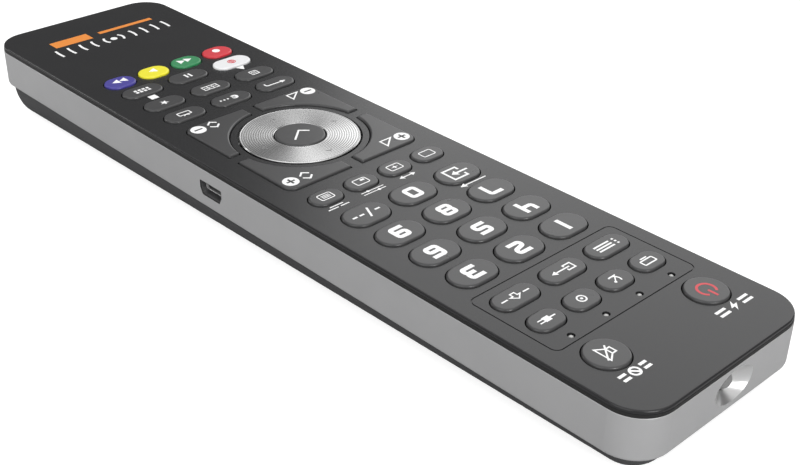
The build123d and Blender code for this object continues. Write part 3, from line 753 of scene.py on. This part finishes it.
# Painted shadow: the bead's near-black colour stands for the shade in the gap between deck and band.
seam_shadow_black = finish("seam_shadow_black", (0.017, 0.017, 0.017), 0.5, grain_depth=0.005, specular=0.3)
seam = print_mark("deck_shadow_seam", deck_point(0, 0, seam_lift), "housing",
                  [line(*seam_points, width=seam_width, closed=True)], seam_shadow_black, lift=seam_height)
print("deck seam:", len(seam.data.polygons), "faces")

# %% [markdown]
# The digits are drawn with one heavy pen, squarish, with rounded bends and square ends.
# "Side" and "top" are where the middle of a stroke runs beside the edges of a digit's box, "wide" and
# "tall" are those edges, where an open stroke ends, and "inner" is the inside of an upright stroke.

# %% Digits
digit_width = 3.57
digit_height = 4.12
digit_pen = 1.0
digit_rounding = 0.55
wide, tall = digit_width / 2, digit_height / 2
side, top = wide - digit_pen / 2, tall - digit_pen / 2
inner = side - digit_pen / 2
slant = 0.3
digit_strokes = {
    0: [((-side, -top), (side, -top), (side, top), (-side, top))],
    1: [((0, -tall), (0, tall))],
    2: [((-wide, top), (side, top), (side, slant), (-side, -slant), (-side, -top), (wide, -top))],
    3: [((-wide, top), (side, top), (side, 0), (-inner, 0)),
        ((-inner, 0), (side, 0), (side, -top), (-wide, -top))],
    4: [((-side, tall), (-side, 0), (side, 0)), ((side, tall), (side, -tall))],
    5: [((wide, top), (-side, top), (-side, 0), (side, 0), (side, -top), (-wide, -top))],
    6: [((wide, top), (-side, top), (-side, -top), (side, -top), (side, 0), (-inner, 0))],
    7: [((-wide, top), (side, top), (side, -tall))],
    8: [((-side, 0), (side, 0), (side, top), (-side, top)),
        ((-side, -top), (side, -top), (side, 0), (-side, 0))],
    9: [((-wide, -top), (side, -top), (side, top), (-side, top), (-side, 0), (inner, 0))]}
closed_digits = {0, 8}
for digit, strokes in digit_strokes.items():
    shapes = [line(*points, width=digit_pen, closed=digit in closed_digits, rounding=digit_rounding)
              for points in strokes]
    print_on_key(f"digit_key_{digit}", shapes, white_ink)
print("digits:", len(digit_strokes))

# %% [markdown]
# Power is a red open ring with a bar, and mute is a line drawing of a loudspeaker, struck out.

# %% Power and mute
power_pen = 0.52
mute_pen = 0.3
power_shapes = [line(*arc(0, 0, 1.8, 128, 412, 24), width=power_pen),
                line((0, 0.3), (0, 2.5), width=power_pen)]
print_on_key("power_key", power_shapes, red_ink)
speaker = line((-1.6, -0.75), (-0.6, -0.75), (1.1, -1.9), (1.1, 1.9), (-0.6, 0.75), (-1.6, 0.75),
               width=mute_pen, closed=True)
mute_shapes = [speaker, line((-0.6, -0.75), (-0.6, 0.75), width=mute_pen),
               line((-1.3, -1.6), (1.5, 1.6), width=0.32)]
print_on_key("mute_key", mute_shapes, white_ink)
print("power and mute printed")

# %% [markdown]
# The words on the real keys are not copied. A plain pictogram of like size and colour stands in the
# place of each: a screen, a dish, a disc and a plug on the device keys, and a list, a way out and a
# shift arrow on the mode keys.

# %% Device and mode keys
thin = 0.32
device_shapes = [
    [frame_line(1.65, 0.7, thin, 0.2, y=0.3), line((-0.9, -0.95), (0.9, -0.95), width=thin)],
    [line(*arc(0.35, 0.35, 1.25, 150, 300), width=thin), line((-0.5, -0.5), (0.6, 0.6), width=0.25),
     dot(0.3, 0.7, 0.7), patch((-1.2, -1.05), (0.1, -1.05), (-0.5, -0.45))],
    [circle_line(0.9, thin), dot(0.3)],
    [line((-2.3, 0), (-0.9, 0), width=thin), bar(0.75, 0.7, -0.15),
     line((0.5, 0.38), (1.9, 0.38), width=0.26), line((0.5, -0.38), (1.9, -0.38), width=0.26)]]
for place, shapes in enumerate(device_shapes, 1):
    print_on_key(f"device_key_{place}", shapes, white_ink)

list_shapes = []
for y in (-0.8, 0, 0.8):
    list_shapes += [bar(0.25, 0.2, -2.6, y), bar(2.2, 0.2, 0.7, y)]
way_out = [line((-0.9, 0.42), (-0.9, 0.85), (-2.8, 0.85), (-2.8, -0.85), (-0.9, -0.85), (-0.9, -0.42),
                width=thin),
           line((-1.9, 0), (1.9, 0), width=thin), patch((1.7, 0.65), (1.7, -0.65), (2.9, 0))]
shift_arrow = line((0, 1.0), (1.25, -0.05), (0.55, -0.05), (0.55, -0.9), (-0.55, -0.9), (-0.55, -0.05),
                   (-1.25, -0.05), width=0.26, closed=True)
shift_shapes = [shift_arrow, line((-3.6, 0), (-2.0, 0), width=thin), line((2.0, 0), (3.6, 0), width=thin)]
for place, shapes in enumerate((list_shapes, way_out, shift_shapes), 1):
    print_on_key(f"mode_key_{place}", shapes, white_ink)
print("device and mode keys printed")

# %% [markdown]
# Beside the zero, one key brings in another source: an arrow enters a box. The other starts a number
# of two or three figures, with dashes and a slash. The four small keys carry thin screens.

# %% Source, long number and small keys
source_pen = 0.5
dash_pen = 0.45
source_shapes = [line((-1.2, 0.95), (-1.2, 2.0), (2.5, 2.0), (2.5, -2.0), (-1.2, -2.0), (-1.2, -0.95),
                      width=source_pen),
                 line((-2.9, 0), (0.4, 0), width=source_pen), patch((0.2, 1.0), (0.2, -1.0), (1.6, 0))]
print_on_key("source_key", source_shapes, white_ink)
dash_places = ((-3.6, -2.3), (0.5, 1.7), (2.3, 3.5))
dashes = [line((start, 0), (end, 0), width=dash_pen) for start, end in dash_places]
print_on_key("long_number_key", dashes + [line((-1.5, -1.6), (-0.1, 1.6), width=dash_pen)], white_ink)

hairline = 0.24
screen = frame_line(1.65, 1.1, hairline, 0.4)
sparkle = patch((0, 0.75), (-0.2, 0.15), (-0.9, 0), (-0.2, -0.15), (0, -0.75), (0.2, -0.15), (0.9, 0),
                (0.2, 0.15))
small_shapes = [
    [screen],
    [screen, sparkle],
    [screen, bar(0.55, 0.3, -0.65, -0.4)],
    [screen] + [line((-1.05, y), (1.05, y), width=0.2) for y in (-0.45, 0, 0.45)]]
for place, shapes in enumerate(small_shapes, 1):
    print_on_key(f"small_key_{place}", shapes, white_ink)
print("source, long number and small keys printed")

# %% [markdown]
# The corner keys carry white discs with a dark plus or minus. Beside each disc the left pair has a
# rising wedge, for volume, and the right pair two chevrons, for channels. A tick marks the select key.

# %% Corner keys and select key
sign_disc_radius = 1.8
sign_disc_steps = 40
sign_half = 1.05
sign_pen = 0.5
sign_lift = 0.01
sign_y = {"up": 6.8, "down": -25.5}
sign_x = {"volume": -15.8, "channel": 15.55}
word_x = {"volume": -11.9, "channel": 11.5}
wedge = [line((-1.6, -1.2), (1.5, -1.2), (1.5, 1.4), width=0.36, closed=True)]
chevrons = [line((-1.2, rise * 0.45), (0, rise * 1.5), (1.2, rise * 0.45), width=0.42) for rise in (1, -1)]
word_shapes = {"volume": wedge, "channel": chevrons}
for pair in ("volume", "channel"):
    for way in ("up", "down"):
        node = f"{pair}_{way}_key"
        key_top = (level_box(node)[1].z - deck_origin.z) / MM
        place = deck_point(sign_x[pair], sign_y[way], key_top)
        body = f"{node}_body"
        print_mark(f"{node}_disc", place, body, [disc(sign_disc_radius, steps=sign_disc_steps)], white_ink)
        sign = [line((-sign_half, 0), (sign_half, 0), width=sign_pen)]
        if way == "up":
            sign.append(line((0, -sign_half), (0, sign_half), width=sign_pen))
        print_mark(f"{node}_sign", place, body, sign, dark_ink, lift=sign_lift)
        beside = deck_point(word_x[pair], sign_y[way], key_top)
        print_mark(f"{node}_mark", beside, body, word_shapes[pair], white_ink)
print_on_key("select_key", [line((-2.6, 0.1), (-0.8, -1.5), (2.7, 1.6), width=0.45)], white_ink)
print("corner keys and select key printed")

# %% [markdown]
# The nine function keys take pictograms too, the white one in red. The colour keys have white marks
# for record, rewind, play and fast forward.

# %% Function and colour keys
star_tips = arc(0, 0, 1.1, 90, 450, 5)
star_dents = arc(0, 0, 0.45, 126, 486, 5)
star_points = []
for i in range(5):
    star_points += [star_tips[i], star_dents[i]]
moon_points = arc(-1.0, 0, 0.95, 50, 310, 14) + arc(-0.55, 0, 0.8, 295, 65, 10)
function_shapes = [
    [line((2.7, -0.8), (2.7, 0.4), (-1.6, 0.4), width=0.36, rounding=0.4),
     patch((-1.5, 1.05), (-2.9, 0.4), (-1.5, -0.25))],
    [patch(*moon_points)] + [dot(0.28, x) for x in (0.9, 1.9, 2.9)],
    [frame_line(1.6, 0.7, 0.28, 0.2, y=-0.25), line((-0.75, 1.0), (0, 0.45), (0.75, 1.0), width=0.26)],
    [frame_line(1.0, 0.95, 0.26, 0.2)] + [line((-0.6, y), (0.6, y), width=0.22) for y in (-0.35, 0.3)],
    [frame_line(2.0, 0.9, 0.26)] + [line((x, -0.9), (x, 0.9), width=0.2) for x in (-0.67, 0.67)]
    + [line((-2.0, 0), (2.0, 0), width=0.2)],
    [patch(*star_points)],
    [circle_line(0.95, 0.24), line((-0.95, 0), (0.95, 0), width=0.2),
     line((0, -0.95), (0, 0.95), width=0.2)]
    + [line(*arc(-x, 0, 1.1, *sweep), width=0.2)
       for x, sweep in ((0.65, (-58, 58)), (-0.65, (122, 238)))],
    [bar(0.25, 0.95, -0.55), bar(0.25, 0.95, 0.55)],
    [bar(0.36, 0.36, x, y) for x in (-1.65, -0.55, 0.55, 1.65) for y in (-0.52, 0.52)]]
white_function_key = 7
for place, shapes in enumerate(function_shapes, 1):
    print_on_key(f"function_key_{place}", shapes, red_ink if place == white_function_key else white_ink)

colour_mark_y = -0.4
colour_shapes = {
    "red": [disc(1.0)],
    "green": [patch((-1.9, 0), (-0.05, -1.15), (-0.05, 1.15)), patch((0.05, 0), (1.9, -1.15), (1.9, 1.15))],
    "yellow": [patch((-0.9, 1.15), (-0.9, -1.15), (1.1, 0))],
    "blue": [patch((1.9, 0), (0.05, 1.15), (0.05, -1.15)), patch((-0.05, 0), (-1.9, 1.15), (-1.9, -1.15))]}
for colour, shapes in colour_shapes.items():
    print_on_key(f"{colour}_key", shapes, white_ink, y=colour_mark_y)
print("function and colour keys printed")

# %% [markdown]
# A few marks are printed on the deck itself, above the keys that they belong to. Where the real deck
# has words, small signs of like size stand there. A triangle and a square mark second functions.

# %% Marks on the deck
def double_bars(x_half, x):
    """Two bars, one above the other, on either side of a sign."""
    return [bar(x_half, 0.3, way * x, rise) for rise in (0.6, -0.6) for way in (-1, 1)]


deck_marks = {
    "power_sign": (-14.1, 94.0, double_bars(1.4, 3.4) + [
        patch((0.6, 1.3), (-1.1, -0.25), (-0.15, -0.25), (-0.6, -1.3), (1.1, 0.25), (0.15, 0.25))]),
    "mute_sign": (14.3, 94.0, [
        circle_line(1.0, 0.42), line((-0.7, 0.7), (0.7, -0.7), width=0.42)] + double_bars(0.9, 2.7)),
    "source_sign": (-13.0, 31.3, [line((-3.7, 0), (2.4, 0), width=0.3),
                                  patch((2.2, 0.75), (2.2, -0.75), (3.7, 0))]),
    "size_sign": (-4.7, 20.3, [line((-1.3, 0), (1.3, 0), width=0.28),
                               patch((-1.1, 0.65), (-2.2, 0), (-1.1, -0.65)),
                               patch((1.1, -0.65), (2.2, 0), (1.1, 0.65))]),
    "setup_sign": (4.8, 20.3, [line((-3.0, 0.42), (3.0, 0.42), width=0.22), dot(0.36, -1.2, 0.42),
                               line((-3.0, -0.42), (3.0, -0.42), width=0.22), dot(0.36, 1.2, -0.42)]),
    "caption_sign": (14.5, 20.3, [line((-2.7, 0.4), (-0.5, 0.4), width=0.28),
                                  line((0.1, 0.4), (2.7, 0.4), width=0.28),
                                  line((-1.7, -0.4), (1.7, -0.4), width=0.28)]),
    "triangle_sign": (-13.1, -47.6, [patch((-1.15, -0.9), (1.15, -0.9), (0, 1.1))]),
    "square_sign": (12.7, -47.5, [bar(1.0, 1.0)])}
for name, (x, y, shapes) in deck_marks.items():
    print_mark(name, deck_point(x, y), "housing", shapes, white_ink)
print("deck marks:", len(deck_marks))

# %% [markdown]
# The far end carries a plain ornament: arcs of an infrared signal spread both ways from a dot, with an
# orange bar and a block below them.

# %% Far-end ornament
orange_ink = printed("orange_ink", (0.78, 0.25, 0.03))
signal_y = -84.5
orange_y = -90.2
first_arc = 2.6
arc_pitch = 3.3
arc_count = 5
widest_sweep = 40
signal = [disc(0.9)]
for i in range(arc_count):
    radius, sweep = first_arc + arc_pitch * i, widest_sweep / (i + 1)
    signal += [line(*arc(0, 0, radius, way - sweep, way + sweep), width=0.6) for way in (0, 180)]
print_mark("signal_ornament", deck_point(0, signal_y), "housing", signal, white_ink)
orange_shapes = [bar(5.3, 1.9, 9.1), bar(8.0, 0.7, -7.0)]
print_mark("orange_ornament", deck_point(0, orange_y), "housing", orange_shapes, orange_ink)
print("ornament: signal arcs, orange bar and block")

# %% [markdown]
# Four small chevrons on the ring point up, down, left and right. They are cut into the metal and look
# darker than it, so they are thin strokes of a duller tint that ride with the ring.

# %% Ring arrows
arrow_radius = 10.0
ring_centre = Vector((ring_middle.x, ring_middle.y, ring_high.z))
for name, turn in (("up", 0), ("left", 90), ("down", 180), ("right", 270)):
    place = ring_centre + Matrix.Rotation(math.radians(turn), 3, "Z") @ Vector((0, arrow_radius, 0)) * MM
    shapes = [line((-0.75, -0.4), (0, 0.4), (0.75, -0.4), width=0.22)]
    print_mark(f"ring_{name}_arrow", place, "select_ring_body", shapes, arrow_tint, turn=turn)
print("ring arrows: 4")
